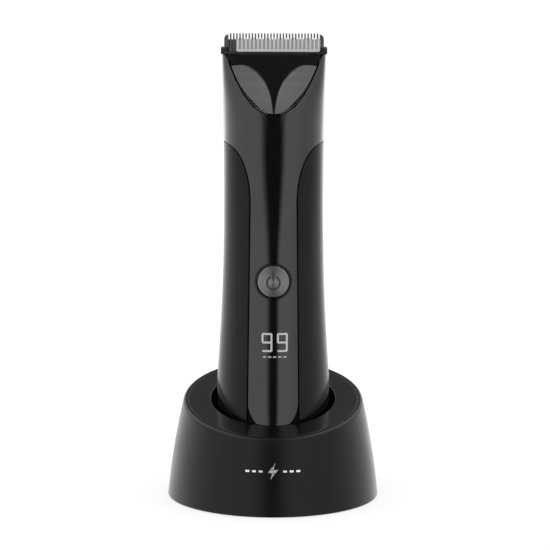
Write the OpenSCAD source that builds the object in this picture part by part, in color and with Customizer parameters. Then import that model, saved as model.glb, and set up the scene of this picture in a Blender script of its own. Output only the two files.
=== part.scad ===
// Body groomer standing in its round charging dock.
// Millimetres. Origin at the middle of the dock's underside, +Z up, the display side faces -Y.

/* [Dock] */
// Radius of the dock at its foot
dock_r = 39.2; // [38:0.1:42]
// Radius of the dock 36 mm up
dock_top_r = 33.4; // [33:0.1:35]
// Height of the slanted deck on the axis
deck_z = 37.2; // [36.5:0.1:38]
// Tilt of the deck, front side low
deck_tilt = 14.1; // [12:0.1:15]
// Thickness of the dock's outer wall
dock_wall = 1.4; // [1.2:0.1:2.4]
// Thickness of the deck plate
deck_t = 2.0; // [1.6:0.1:2.2]
// Radius of the socket hole in the deck
socket_r = 23.1; // [22.8:0.1:23.8]

/* [Body] */
// Height of the groomer's flat underside when docked
body_base_z = 26; // [25.8:0.1:26.2]
// Height where the rounded lower end meets the body
equator_z = 44; // [43:0.5:46]
// Half width at the rounded end
equator_half_w = 20.85; // [20.6:0.05:21.2]
// Height of the waist
waist_z = 111; // [108:1:114]
// Half width at the waist
waist_half_w = 18.2; // [18:0.1:18.8]
// Half width under the cutting head
head_half_w = 19; // [18.9:0.05:19.3]
// Thickness of the moulded shells
wall = 1.6; // [1.4:0.1:1.8]
// Width of the seams between the shells
seam = 0.25; // [0.2:0.05:0.4]

/* [Head] */
// Lowest point of the U seam under the head cover
u_low_z = 143.7; // [143:0.1:145]
// Top of the body's side horns, just under the blade frame
horn_z = 164.8; // [164.5:0.1:165]
// Height of the blade frame's upper face
frame_z = 167; // [166.8:0.1:167.2]
// Backward lean of the blades
blade_lean = 15; // [12:1:18]
// Width of the fixed blade
fixed_blade_w = 36.4; // [35:0.1:36.6]
// Width of the moving blade
moving_blade_w = 30.8; // [30:0.1:31]
// Number of teeth on the fixed blade
fixed_teeth = 29; // [25:1:31]
// Number of teeth on the moving blade
moving_teeth = 21; // [17:1:21]
// Throw of the eccentric, half of the blade's stroke
throw = 1.5; // [1.2:0.1:1.5]

/* [Controls] */
// Height of the power button
button_z = 83.1; // [82:0.1:85]
// Radius of the power button
button_r = 5.85; // [5.5:0.05:6]
// Travel of the power button
button_travel = 0.6; // [0.4:0.1:0.8]
// Height of the digits' lower edge
digit_z = 57.5; // [56.5:0.1:58]
// Height of the digits
digit_h = 6.9; // [6.5:0.1:7.5]

/* [Power] */
// Radius of the battery cell
cell_r = 9; // [8:0.1:9]
// Length of the battery cell
cell_h = 65; // [60:1:65]
// Radius of the motor can
motor_r = 10; // [9:0.1:10.5]
// Height of the motor can
motor_h = 24; // [20:1:25]

/* [Hidden] */
$fn = 64;
eps = 0.01;
bottom_ry = 19.5;
bottom_power = 4;
turn_z = 30.5;
turn_ry = 5;
socket_y = -1.2;
skirt_z = 0.3;
arc_start = 0.095;
arc_bend = (dock_r - dock_top_r - arc_start * 36) / (36 * 36);
strip_half = 8.56;
strip_low_half = 9.4;
strip_turn_z = 112;
shoulder_z = 133;
tongue_z = 38.6;
tongue_h = 9.8;
cap_z = deck_z - seam;
cap_high_z = tongue_z - 0.7;
cap_wall = 1.9;
prong_start = 26.2;
prong_end = 28;
cap_floor = 2;
cover_z = 164.75;
top_plate_z = 162.6;
u_half = 17.65;
u_power = 2.35;
face_y = -17.5;
board_y = -9.6;
board_t = 1.2;
cell_y = 3.6;
cell_z = 41;
motor_z = 111.5;
motor_top = motor_z + motor_h;
cam_z = 142.7;
shaft_r = 1;
pin_top = 147.2;
base_z = 144.7;
blade_y = -3;
feet_h = 1.5;
feet_r = 4.5;
feet_place = 27;
plate_t = 2;
inlet_z = 9.5;
inlet_w = 9;
inlet_h = 3.3;
contact_x = 4;
contact_r = 1.4;
pin_r = 0.9;
pin_bore_h = 8;
floor_z = body_base_z - 0.05;

// ---------- curves ----------

function mix(a, b, t) = a + (b - a) * t;
function ease(t) = let (u = min(max(t, 0), 1)) u * u * (3 - 2 * u);
function signed_pow(v, p) = sign(v) * pow(abs(v), p);
function steps(n) = [for (i = [0:n]) i / n];

// The dock's outer radius at a height: a shallow convex arc.
function dock_radius(z) = dock_r - arc_start * z - arc_bend * z * z;

// The rounded lower end narrows the section down to the flat underside; front and rear turn under lower down.
function fall(u) = pow(1 - pow(u, bottom_power), 1 / bottom_power);
function end_round(z) = z < equator_z ? fall((equator_z - z) / bottom_ry) : 1;
function turn_under(z) = z < turn_z ? sqrt(1 - pow((turn_z - z) / turn_ry, 2)) : 1;
function waist_w(z) = let (
    rise = z > waist_z ? (head_half_w - waist_half_w) / pow(165 - waist_z, 2)
                       : (equator_half_w - waist_half_w) / pow(equator_z - waist_z, 2)
) waist_half_w + rise * pow(z - waist_z, 2);
function half_width(z) = waist_w(max(z, equator_z)) * end_round(z);

// The front bows gently and then leans back over the head; the rear does the same, later.
function front_depth(z) = (16.6 + 0.00069 * pow(max(z, turn_z) - 125, 2)
    + 0.001 * pow(max(60 - max(z, turn_z), 0), 2)
    - 0.1137 * pow(max(z - 140, 0), 1.4)) * turn_under(z);
function rear_depth(z) = (16 + 0.0009 * pow(max(z, equator_z) - 120, 2)
    - 0.0895 * pow(max(z - 145, 0), 1.5)) * turn_under(z);
function squareness(z) = 2 + 0.5 * ease((z - 85) / 50) + 2.5 * ease((z - 143) / 22);

// A point on the body: angle 0 is the front, 90 the right side. Inset moves it inward.
function skin(angle, z, inset = 0) = let (
    p = 2 / squareness(z),
    depth = cos(angle) > 0 ? front_depth(z) : rear_depth(z)
) [(half_width(z) - inset) * signed_pow(sin(angle), p), -(depth - inset) * signed_pow(cos(angle), p), z];

// The angle at which the body's section is x wide.
function angle_at(x, z) = asin(min(pow(x / half_width(z), squareness(z) / 2), 1));

// Half width of the central strip: a round tongue below, straight, then a quarter ellipse out to the side.
function strip_edge(z) =
    z < tongue_z ? strip_low_half * sqrt(max(1 - pow((tongue_z - z) / tongue_h, 2), 0)) :
    z < strip_turn_z ? mix(strip_low_half, strip_half, (z - tongue_z) / (strip_turn_z - tongue_z)) :
    z < shoulder_z ? half_width(z) - (half_width(z) - strip_half)
        * sqrt(max(1 - pow((z - strip_turn_z) / (shoulder_z - strip_turn_z), 2), 0)) :
    half_width(z);

// Half width of the gap between the grips: as the strip, but straight beside the tongue.
function grip_edge(z) = z < tongue_z ? strip_low_half : strip_edge(z);

// Height of the U seam at an angle round the body, moved outward by a gap on both sides and below.
function u_seam(angle, gap = 0, z = 152, count = 7) = let (
    x = half_width(z) * pow(abs(sin(angle)), 2 / squareness(z)) + gap,
    edge = min(u_low_z + gap + (165 - u_low_z) * pow(x / u_half, u_power), 172)
) count == 0 ? edge : u_seam(angle, gap, edge, count - 1);

// Height of the tongue's lower edge at an angle round the rounded end.
function tongue_edge(angle, z = 30, count = 4) = let (
    x = min(half_width(z) * abs(sin(angle)), strip_low_half * 0.999),
    edge = tongue_z - tongue_h * sqrt(1 - pow(x / strip_low_half, 2))
) count == 0 ? edge : tongue_edge(angle, edge, count - 1);

// The bottom cap ends level with the deck: a plane that rises to the rear, then runs level.
function cap_line(angle, z = 34, count = 5) = let (
    edge = min(cap_z + tan(deck_tilt) * skin(angle, z)[1], cap_high_z)
) count == 0 ? edge : cap_line(angle, edge, count - 1);

// Upper edge of the bottom cap: it follows the tongues, then drops from the prongs to its own line.
function cap_top(angle) = let (away = min(abs(angle), 180 - abs(angle)))
    away < prong_end ? tongue_edge(angle) - seam : min(tongue_edge(angle) - seam, cap_line(angle));

// Angles round a quarter of the cap, closest about the prong.
cap_quarter = concat([for (a = [0:3:18]) a], [20, 22, 24, 25.2, prong_start],
    [for (t = steps(18)) mix(prong_end, 90, t)]);
cap_angles = concat(
    [for (i = [30:-1:1]) -180 + cap_quarter[30 - i]], [for (i = [30:-1:1]) -cap_quarter[i]],
    [for (i = [0:29]) cap_quarter[i]], [for (i = [0:29]) 180 - cap_quarter[30 - i]]
);

// Angle at which a panel stops half a seam short of the body's side.
function side_angle(z, depth) = acos(pow(seam / 2 / depth, squareness(z) / 2));

// ---------- builders ----------

// Quad between four point numbers, as two triangles.
function quad(a, b, c, d) = [[a, b, c], [a, c, d]];

// A moulded wall that follows the body: grid[row][column] = [angle, height].
// A ring with a floor_t is closed at its foot by a flat floor of that thickness.
module body_wall(grid, outer = 0, inner = wall, ring = false, floor_t = 0) {
    rows = len(grid);
    cols = len(grid[0]);
    n = rows * cols;
    span = ring ? cols : cols - 1;
    points = [
        for (side = [0, 1]) for (r = [0:rows - 1]) for (p = grid[r])
            skin(p[0], p[1] + side * floor_t * (1 - r / (rows - 1)), side == 0 ? outer : inner)
    ];
    sides = [
        for (r = [0:rows - 2]) for (c = [0:span - 1]) let (
            a = r * cols + c,
            b = r * cols + (c + 1) % cols
        ) each concat(quad(a, a + cols, b + cols, b), quad(n + a, n + b, n + b + cols, n + a + cols))
    ];
    rims = [
        for (c = [0:span - 1]) let (
            d = (c + 1) % cols,
            top = (rows - 1) * cols
        ) each concat(floor_t > 0 ? [] : quad(c, d, n + d, n + c),
            quad(top + d, top + c, n + top + c, n + top + d))
    ];
    floor_faces = floor_t > 0 ? [[for (c = [0:cols - 1]) c], [for (c = [cols - 1:-1:0]) n + c]] : [];
    ends = ring ? [] : [
        for (r = [0:rows - 2]) let (
            a = r * cols,
            b = r * cols + cols - 1
        ) each concat(quad(a + cols, a, n + a, n + a + cols), quad(b, b + cols, n + b + cols, n + b))
    ];
    polyhedron(points, concat(sides, rims, ends, floor_faces), convexity = 6);
}

// Heights at which the strip-shaped panels are measured, from the tongue to the shoulder.
strip_levels = concat(
    [for (a = [78:-13:0]) tongue_z - tongue_h * sin(a)],
    [for (t = [1:8]) mix(tongue_z, strip_turn_z, t / 8)],
    [for (a = [14:11:80]) mix(strip_turn_z, shoulder_z, sin(a))]
);

// Full-length panel about the angle `middle`: tongue, strip, shoulders, and horns beside the head.
function panel_grid(middle, columns = 20, rows = 7) = concat(
    [for (z = strip_levels) let (edge = angle_at(strip_edge(z) - seam / 2, z))
        [for (s = steps(columns)) [middle + edge * (2 * s - 1), z]]],
    [for (t = steps(rows)) let (
        side_z = mix(shoulder_z + seam, horn_z, t),
        side = side_angle(side_z, middle == 0 ? front_depth(side_z) : rear_depth(side_z))
    ) [for (s = steps(columns)) let (a = side * (2 * s - 1))
        [middle + a, mix(shoulder_z + seam, min(horn_z, u_seam(a)), t)]]]
);

// Row of the right grip at a height, and a row of its slanted foot a part t of the way up to the equator.
function grip_row(z, columns) = let (edge = angle_at(grip_edge(z) + seam / 2, z))
    [for (s = steps(columns)) [mix(edge, 180 - edge, s), z]];
function foot_row(t, columns) = let (
    front_z = mix(cap_line(25) + seam, equator_z, t),
    rear_z = mix(cap_line(155) + seam, equator_z, t),
    front = angle_at(grip_edge(front_z) + seam / 2, front_z),
    rear = 180 - angle_at(grip_edge(rear_z) + seam / 2, rear_z)
) [for (s = steps(columns)) let (a = mix(front, rear, s)) [a, mix(cap_line(a) + seam, equator_z, t)]];

// Side grip between the two panels: side is 1 for the right one, -1 for its mirror image.
function grip_grid(side, columns = 14) = let (rows = concat(
    [for (t = [0:5]) foot_row(t / 6, columns)],
    [for (t = steps(9)) grip_row(mix(equator_z, strip_turn_z, t), columns)],
    [for (a = [10:14:80]) grip_row(mix(strip_turn_z, shoulder_z, sin(a)), columns)]
)) [for (row = rows) [for (i = [0:columns]) let (p = row[side > 0 ? i : columns - i]) [side * p[0], p[1]]]];

// Angle at which the U seam comes within a margin of a height.
function u_reach(top, margin = 1.1) = angle_at(
    u_half * pow((top - margin - u_low_z) / (165 - u_low_z), 1 / u_power) - seam, top - margin);

// Cover of the head, between the U seam and the cover's straight top.
function cover_grid(middle, top, reach = u_reach(cover_z), columns = 20, rows = 6) = [
    for (t = steps(rows)) [for (s = steps(columns)) let (a = reach * (2 * s - 1))
        [middle + a, mix(u_seam(a, seam), top, t)]]
];

// Outline of the body's section at a height, moved inward.
module section(z, inset) {
    polygon([for (i = [0:47]) let (p = skin(i * 7.5, z, inset)) [p[0], p[1]]]);
}

// Plate that fills the body's section.
module section_plate(z, thickness, inset) {
    translate([0, 0, z])
        linear_extrude(thickness)
            section(z, inset);
}

// Cylinder lying along Y, from y0 to y1.
module rod_y(r, y0, y1, x = 0, z = 0) {
    translate([x, y0, z])
        rotate([-90, 0, 0])
            cylinder(r = r, h = y1 - y0);
}

// Ring about Z.
module ring(outer_r, inner_r, h) {
    difference() {
        cylinder(r = outer_r, h = h);
        translate([0, 0, -1])
            cylinder(r = inner_r, h = h + 2);
    }
}

// Box given by its low corner and its high corner.
module box(low, high) {
    translate(low)
        cube(high - low);
}

// Flat rounded plate in the XZ plane, from y0 to y1.
module card(low_x, high_x, low_z, high_z, y0, y1, r) {
    translate([0, y1, 0])
        rotate([90, 0, 0])
            linear_extrude(y1 - y0)
                rounded_rect(low_x, high_x, low_z, high_z, r);
}

// Rectangle with round corners.
module rounded_rect(low_x, high_x, low_z, high_z, r) {
    for (x = [low_x + r, high_x - r])
        for (z = [low_z + r, high_z - r])
            translate([x, z])
                circle(r);
    translate([low_x + r, low_z])
        square([high_x - low_x - 2 * r, high_z - low_z]);
    translate([low_x, low_z + r])
        square([high_x - low_x, high_z - low_z - 2 * r]);
}

// Everything below the deck's plane, lowered by `drop`.
module under_deck(drop = 0) {
    translate([0, 0, deck_z - drop])
        rotate([deck_tilt, 0, 0])
            translate([-60, -60, -80])
                cube([120, 120, 80]);
}

// Solid of the dock's outer form, moved inward.
module dock_form(inset, low = 0, high = 52, segments = 14) {
    rotate_extrude($fn = 128)
        polygon(concat(
            [[0, low]],
            [for (t = steps(segments)) let (z = mix(low, high, t)) [dock_radius(z) - inset, z]],
            [[0, high]]
        ));
}

// The blades' own frame: Z along the lean, Y out of the back.
module on_blades() {
    translate([0, blade_y, frame_z])
        rotate([-blade_lean, 0, 0])
            children();
}

// Raised layer just proud of the front panel, cut to the 2-D children drawn in the XZ plane.
module panel_print(low_z, high_z, half, proud = 0.14, lift = 0.06) {
    rows = 4;
    columns = 8;
    intersection() {
        body_wall([
            for (t = steps(rows)) let (
                z = mix(low_z - 1, high_z + 1, t),
                reach = angle_at(half + 1, z)
            ) [for (s = steps(columns)) [reach * (2 * s - 1), z]]
        ], -proud, -lift);
        translate([0, -14, 0])
            rotate([90, 0, 0])
                linear_extrude(10)
                    children();
    }
}

// ---------- dock ----------

module dock_shell() {
    color([0.05, 0.05, 0.055])
        difference() {
            intersection() {
                dock_form(0, skirt_z);
                under_deck();
            }
            dock_form(dock_wall, -1, 53);
            translate([-inlet_w / 2 - 0.2, 30, inlet_z - inlet_h / 2 - 0.2])
                cube([inlet_w + 0.4, 12, inlet_h + 0.4]);
        }
}

module dock_deck() {
    color([0.08, 0.08, 0.085])
        difference() {
            intersection() {
                dock_form(dock_wall + seam, 20, 52);
                under_deck(0.15);
            }
            under_deck(deck_t);
            translate([0, socket_y, 0])
                cylinder(r = socket_r, h = 60);
        }
}

// Cup of revolution below the deck, open at the top.
module socket_cup() {
    cup_turn_z = 31;
    cup_wall = 1.6;
    cup_floor_r = 17;
    color([0.04, 0.04, 0.045])
        difference() {
            intersection() {
                translate([0, socket_y, 0])
                    rotate_extrude($fn = 96)
                        polygon(concat(
                            [[0, floor_z], [0, floor_z - cup_wall]],
                            cup_arc(cup_floor_r, socket_r + cup_wall, floor_z - cup_wall, cup_turn_z),
                            [[socket_r + cup_wall, 50], [socket_r, 50]],
                            reversed(cup_arc(cup_floor_r, socket_r, floor_z, cup_turn_z))
                        ));
                under_deck(deck_t + 0.05);
            }
            for (x = [-contact_x, contact_x])
                translate([x, 0, floor_z - 5])
                    cylinder(r = pin_r + 0.1, h = 10);
        }
}

// Quarter-ellipse points from a flat floor to a straight wall.
function cup_arc(r0, r1, z0, z1) = [for (a = [0:9:90]) [r0 + (r1 - r0) * sin(a), z1 - (z1 - z0) * cos(a)]];
function reversed(list) = [for (i = [len(list) - 1:-1:0]) list[i]];

module dock_base_plate() {
    color([0.12, 0.12, 0.12])
        difference() {
            translate([0, 0, feet_h])
                cylinder(r = dock_r - dock_wall - 0.6, h = plate_t, $fn = 128);
            base_corners(feet_place)
                translate([0, 0, feet_h - 1])
                    cylinder(r = 1.6, h = plate_t + 2);
        }
}

// Children at the four corners of the base, turned by 45 degrees.
module base_corners(place) {
    for (a = [45:90:315])
        rotate(a)
            translate([place, 0, 0])
                children();
}

module dock_weight() {
    color([0.45, 0.46, 0.48])
        translate([0, 0, feet_h + plate_t + 0.05])
            ring(22, 7, 4);
}

module dock_circuit_board() {
    color([0.05, 0.3, 0.15])
        box([-12, 22, inlet_z - inlet_h / 2 - 1.25], [12, 33.8, inlet_z - inlet_h / 2 - 0.05]);
}

// Charging inlet: a metal shell with a tongue inside, mouth at the back.
module usb_inlet() {
    depth = 7.4;
    metal_t = 0.35;
    mouth_y = dock_radius(inlet_z) - 0.3;
    color([0.72, 0.73, 0.75]) {
        difference() {
            translate([0, mouth_y, inlet_z])
                rotate([90, 0, 0])
                    linear_extrude(depth)
                        inlet_outline(0);
            translate([0, mouth_y + 1, inlet_z])
                rotate([90, 0, 0])
                    linear_extrude(depth)
                        inlet_outline(metal_t);
        }
        box([-3.3, mouth_y - depth + 0.5, inlet_z - 0.35], [3.3, mouth_y - 1, inlet_z + 0.35]);
    }
}

// Outline of the inlet's metal shell, moved inward.
module inlet_outline(inset) {
    half_w = inlet_w / 2 - inset;
    half_h = inlet_h / 2 - inset;
    rounded_rect(-half_w, half_w, -half_h, half_h, 1.6 - inset);
}

// Spring charging pin: round tip on a wider tail.
module charge_pin(x) {
    tip_z = body_base_z + 0.35;
    tail_z = floor_z - 4;
    tail_r = pin_r + 0.5;
    color([0.85, 0.7, 0.35])
        translate([x, 0, 0])
            rotate_extrude($fn = 32)
                polygon([
                    [0, tail_z], [tail_r, tail_z], [tail_r, tail_z + 1], [pin_r, tail_z + 1],
                    [pin_r, tip_z - 0.3], [pin_r - 0.35, tip_z], [0, tip_z]
                ]);
}

module charge_pin_left() {
    charge_pin(-contact_x);
}

module charge_pin_right() {
    charge_pin(contact_x);
}

// Coil spring under a charging pin, from the housing's floor to the pin's tail.
module pin_spring(x) {
    wire_r = 0.18;
    turns = 5;
    low = floor_z - 1.65 - pin_bore_h + wire_r;
    high = floor_z - 4 - wire_r;
    color([0.7, 0.7, 0.72])
        translate([x, 0, low])
            linear_extrude(high - low, twist = -360 * turns, slices = 10 * turns, $fn = 6)
                translate([1.05, 0])
                    circle(wire_r, $fn = 6);
}

module pin_spring_left() {
    pin_spring(-contact_x);
}

module pin_spring_right() {
    pin_spring(contact_x);
}

// Block under the socket floor that guides the pins' tails.
module pin_housing() {
    top = floor_z - 1.65;
    color([0.15, 0.15, 0.16])
        difference() {
            box([-8, -3.5, top - pin_bore_h - 1], [8, 3.5, top]);
            for (x = [-contact_x, contact_x])
                translate([x, 0, top - pin_bore_h])
                    cylinder(r = pin_r + 0.6, h = pin_bore_h + 1);
        }
}

module dock_feet() {
    color([0.03, 0.03, 0.03])
        base_corners(feet_place)
            difference() {
                cylinder(r = feet_r, h = feet_h - 0.05);
                translate([0, 0, -1])
                    cylinder(r = 2, h = 1.6);
            }
}

module dock_screws() {
    color([0.6, 0.6, 0.62])
        base_corners(feet_place)
            translate([0, 0, feet_h])
                cylinder(r = 1.45, h = 7);
}

// Plain charging emblem: a bolt between two short bars, lying on the dock's front wall.
module dock_emblem() {
    emblem_z = 16.9;
    color([0.75, 0.76, 0.78])
        intersection() {
            difference() {
                dock_form(-0.15, 10, 24, 7);
                dock_form(-0.03, 8, 26, 9);
            }
            translate([0, -30, emblem_z])
                rotate([90, 0, 0])
                    linear_extrude(20)
                        emblem();
        }
}

module emblem() {
    polygon([[0.9, 3], [-1.9, -0.5], [-0.3, -0.5], [-0.9, -3], [1.9, 0.6], [0.3, 0.6]]);
    for (side = [-1, 1])
        for (i = [0:2])
            translate([side * (4.4 + 2.4 * i) - 0.7, -0.35])
                square([1.4, 0.7]);
}

// ---------- groomer body ----------

module front_panel() {
    color([0.03, 0.03, 0.035])
        difference() {
            body_wall(panel_grid(0));
            rod_y(button_r + 0.75, -25, -10, 0, button_z);
        }
}

module rear_shell() {
    color([0.04, 0.04, 0.045])
        body_wall(panel_grid(180));
}

module left_grip() {
    color([0.13, 0.13, 0.14])
        body_wall(grip_grid(-1));
}

module right_grip() {
    color([0.13, 0.13, 0.14])
        body_wall(grip_grid(1));
}

module bottom_cap() {
    rows = 4;
    color([0.05, 0.05, 0.055])
        difference() {
            body_wall([
                for (t = steps(rows)) [for (a = cap_angles) [a, mix(body_base_z, cap_top(a), t)]]
            ], 0, cap_wall, true, cap_floor);
            for (x = [-contact_x, contact_x])
                translate([x, 0, body_base_z - 1])
                    cylinder(r = contact_r + 0.1, h = cap_floor + 2);
        }
}

module charge_contacts() {
    color([0.85, 0.7, 0.35])
        for (x = [-contact_x, contact_x])
            translate([x, 0, body_base_z + 0.4])
                cylinder(r = contact_r, h = 3);
}

// Chassis plate between the board and the cell, with a foot, a cradle and a head for the motor mount.
module inner_frame() {
    plate_y = board_y + board_t + 0.1;
    color([0.2, 0.2, 0.21]) {
        box([-12, plate_y, 35], [12, plate_y + 1.5, motor_z - 2]);
        section_plate(37, 2, 3.4);
        difference() {
            section_plate(motor_z - 3, 2, wall + 0.5);
            translate([0, 0, motor_z - 4])
                cylinder(r = 5, h = 4);
        }
        for (side = [-1, 1])
            box([side > 0 ? 11.5 : -13, -3, motor_z - 2], [side > 0 ? 13 : -11.5, 3, motor_top]);
    }
}

module battery_cell() {
    color([0.2, 0.35, 0.6])
        translate([0, cell_y, cell_z])
            cylinder(r = cell_r, h = cell_h);
}

module battery_tabs() {
    color([0.75, 0.75, 0.76])
        for (z = [cell_z - 0.35, cell_z + cell_h + 0.05])
            translate([-2.5, cell_y - 5, z])
                cube([5, 10, 0.3]);
}

module main_circuit_board() {
    color([0.04, 0.28, 0.14])
        box([-10.5, board_y, 42], [10.5, board_y + board_t, 104]);
}

module display_module() {
    color([0.1, 0.1, 0.11])
        box([-8, board_y - 3.6, 52], [8, board_y - 0.05, 68]);
}

// One seven-segment digit nine, seen from the front.
module nine(w, h, t) {
    for (z = [0, (h - t) / 2, h - t])
        translate([t * 0.4, z])
            square([w - t * 0.8, t]);
    translate([w - t, t * 0.4])
        square([t, h - t * 0.8]);
    translate([0, h / 2])
        square([t, h / 2 - t * 0.4]);
}

module display_digits() {
    digit_w = 3.95;
    stroke = 0.7;
    color([0.95, 0.97, 1])
        panel_print(digit_z, digit_z + digit_h, 5.5)
            for (x = [-4.25, 1.35])
                translate([x, digit_z])
                    nine(digit_w, digit_h, stroke);
}

module battery_level_bars() {
    bars = 5;
    bar_w = 1.2;
    pitch = 1.85;
    middle_x = 0.55;
    color([0.8, 0.85, 0.9])
        panel_print(digit_z - 2.2, digit_z - 1.4, 5.5)
            for (i = [0:bars - 1])
                translate([middle_x + (i - (bars - 1) / 2) * pitch - bar_w / 2, digit_z - 2.1])
                    square([bar_w, 0.55]);
}

module tactile_switch() {
    color([0.3, 0.3, 0.32]) {
        box([-3, board_y - 2.6, button_z - 3], [3, board_y - 0.05, button_z + 3]);
        rod_y(1.7, board_y - 3.2, board_y - 2.5, 0, button_z);
    }
}

module button_bezel() {
    color([0.25, 0.25, 0.27])
        difference() {
            rod_y(button_r + 0.7, face_y - 0.35, face_y + 3.2, 0, button_z);
            rod_y(button_r + 0.35, face_y - 2, face_y + 4, 0, button_z);
        }
}

module power_button() {
    color([0.42, 0.42, 0.44]) {
        rod_y(button_r, face_y, face_y + 2, 0, button_z);
        rod_y(1.2, face_y + 2 - eps, board_y - 3.2 - button_travel - 0.1, 0, button_z);
    }
}

// Power symbol: an open ring with a stem, standing just proud of the button's face.
module button_icon() {
    icon_r = 2.65;
    line = 0.58;
    drop = 0.45;
    color([0.05, 0.05, 0.05])
        translate([0, face_y - 0.02, button_z - drop])
            rotate([90, 0, 0])
                linear_extrude(0.08) {
                    difference() {
                        circle(icon_r);
                        circle(icon_r - line);
                        translate([-1, 0])
                            square([2, icon_r + 1]);
                    }
                    translate([-line / 2, 0.6])
                        square([line, icon_r]);
                }
}

module motor_can() {
    color([0.65, 0.66, 0.68])
        translate([0, 0, motor_z])
            difference() {
                cylinder(r = motor_r, h = motor_h);
                translate([0, 0, motor_h - 1])
                    cylinder(r = shaft_r + 0.05, h = 2);
            }
}

module motor_end_cap() {
    color([0.85, 0.85, 0.8])
        translate([0, 0, motor_z - 0.95])
            cylinder(r = 4.6, h = 0.9);
}

module motor_mount() {
    color([0.25, 0.25, 0.26])
        difference() {
            section_plate(motor_top + 0.05, 1.5, wall + 0.5);
            translate([0, 0, motor_top - 1])
                cylinder(r = 3, h = 4);
            for (x = [-6, 6])
                translate([x, 0, motor_top - 1])
                    cylinder(r = 1.1, h = 4);
        }
}

module neck_cap() {
    color([0.06, 0.06, 0.065])
        difference() {
            section_plate(139.6, 2, wall + 0.3);
            translate([0, 0, 139])
                cylinder(r = 3.2, h = 4);
        }
}

module shaft_seal() {
    color([0.02, 0.02, 0.02])
        translate([0, 0, 139.7])
            ring(3.15, shaft_r + 0.05, 1.8);
}

module frame_screws() {
    color([0.6, 0.6, 0.62])
        for (x = [-6, 6])
            translate([x, 0, motor_top + 0.05])
                cylinder(r = 1, h = 2.2);
}

module motor_shaft() {
    color([0.8, 0.8, 0.82])
        translate([0, 0, motor_top - 0.9])
            cylinder(r = shaft_r, h = cam_z - motor_top + 2.4);
}

// Cam disc pressed on the shaft, with its pin off centre by the throw.
module eccentric_cam() {
    color([0.9, 0.9, 0.88]) {
        difference() {
            translate([0, 0, cam_z])
                cylinder(r = 3.3, h = 1.8);
            translate([0, 0, cam_z - 1])
                cylinder(r = shaft_r + 0.01, h = 2.5);
        }
        translate([throw, 0, cam_z + 1.8 - eps])
            cylinder(r = 0.9, h = pin_top - cam_z - 1.8);
    }
}

// ---------- cutting head ----------

module head_front_cover() {
    color([0.1, 0.1, 0.11])
        body_wall(cover_grid(0, cover_z));
}

module head_rear_cover() {
    color([0.05, 0.05, 0.055])
        body_wall(cover_grid(180, cover_z));
}

// Floor of the head, with the opening for the eccentric pin. It is small enough to lift out past the horns.
module head_base() {
    base_t = 1.5;
    color([0.12, 0.12, 0.12])
        difference() {
            union() {
                box([-9, -10.5, base_z], [9, 10.5, base_z + base_t]);
                box([-13.5, -3.5, base_z], [13.5, 4, base_z + base_t]);
            }
            translate([0, 0, base_z - 1])
                cylinder(r = 3.8, h = 4);
        }
}

// Outline of the head's top plate: wedges inside the two covers, and the middle between the horns.
module head_top_outline() {
    reach = u_reach(top_plate_z) - 3;
    middle_half = 14.4;
    for (side = [0, 180])
        polygon(concat([[0, 0]], [for (t = steps(16)) let (
            p = skin(side + reach * (2 * t - 1), cover_z, wall + seam)
        ) [p[0], p[1]]]));
    translate([-middle_half, -3])
        square([2 * middle_half, 6]);
}

// Carrier of the blades: the head's top plate, a crossbar with an ear at each end, and two legs.
module blade_frame() {
    ear_half = 19.35;
    ear_in = 17.3;
    bar_z = 165;
    color([0.06, 0.06, 0.065])
        difference() {
            union() {
                translate([0, 0, top_plate_z])
                    linear_extrude(bar_z - top_plate_z)
                        head_top_outline();
                box([-ear_half, -5.4, bar_z - 0.02], [ear_half, 3, frame_z + 0.1]);
                for (side = [-1, 1])
                    translate([side * 11, 0, 0])
                        box([-1, -1.5, base_z + 1.5], [1, 0.5, top_plate_z + 1]);
            }
            on_blades() {
                box([-ear_in, -9, -1.75], [ear_in, 0.8, 4]);
                box([-8.9, -1.6, -8], [8.9, 0.3, 1]);
            }
        }
}

// Steel comb behind the moving blade.
module fixed_blade() {
    tip = 5.5;
    root = 3.3;
    pitch = 1.13;
    color([0.6, 0.61, 0.63])
        on_blades()
            difference() {
                card(-fixed_blade_w / 2, fixed_blade_w / 2, -1.6, tip, 0.05, 0.75, 2.2);
                for (x = [-20, 16.9])
                    box([x, -1, -3], [x + 3.1, 2, 0.35]);
                for (i = [0:fixed_teeth])
                    translate([(i - fixed_teeth / 2) * pitch - 0.225, -1, root])
                        cube([0.45, 3, tip]);
            }
}

module blade_screws() {
    color([0.65, 0.65, 0.67])
        for (x = [-13, 13])
            rod_y(0.8, 3.05, 3.6, x, 166);
}

// Leaf spring that keeps the follower against the blade.
module blade_spring() {
    color([0.7, 0.7, 0.72])
        on_blades()
            box([-6.5, -1.85, -9], [6.5, -1.55, -5]);
}

// Ceramic comb, parked at the right end of its stroke.
module moving_blade() {
    tip = 3.7;
    root = -0.7;
    low = -1.7;
    pitch = moving_blade_w / moving_teeth;
    color([0.82, 0.82, 0.8])
        on_blades()
            translate([throw, 0, 0])
                difference() {
                    card(-moving_blade_w / 2, moving_blade_w / 2, low, tip, -1.2, 0, 0.8);
                    for (i = [1:moving_teeth - 1])
                        translate([(i - moving_teeth / 2) * pitch - 0.25, -3, root])
                            cube([0.5, 5, tip + 2]);
                }
}

// Plastic follower under the moving blade, with the fork that the eccentric drives.
module cutter_follower() {
    fork_z = pin_top + 0.3;
    color([0.9, 0.9, 0.88])
        translate([throw, 0, 0]) {
            on_blades() {
                box([-7, -1.2, -3.6], [7, -0.1, -1.72]);
                box([-4, -1.2, -17.6], [4, -0.1, -3.5]);
            }
            difference() {
                box([-4, -8.9, fork_z], [4, 3, fork_z + 3]);
                box([-1, -2.5, fork_z - 1], [1, 4, fork_z + 4]);
            }
        }
}

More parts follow.
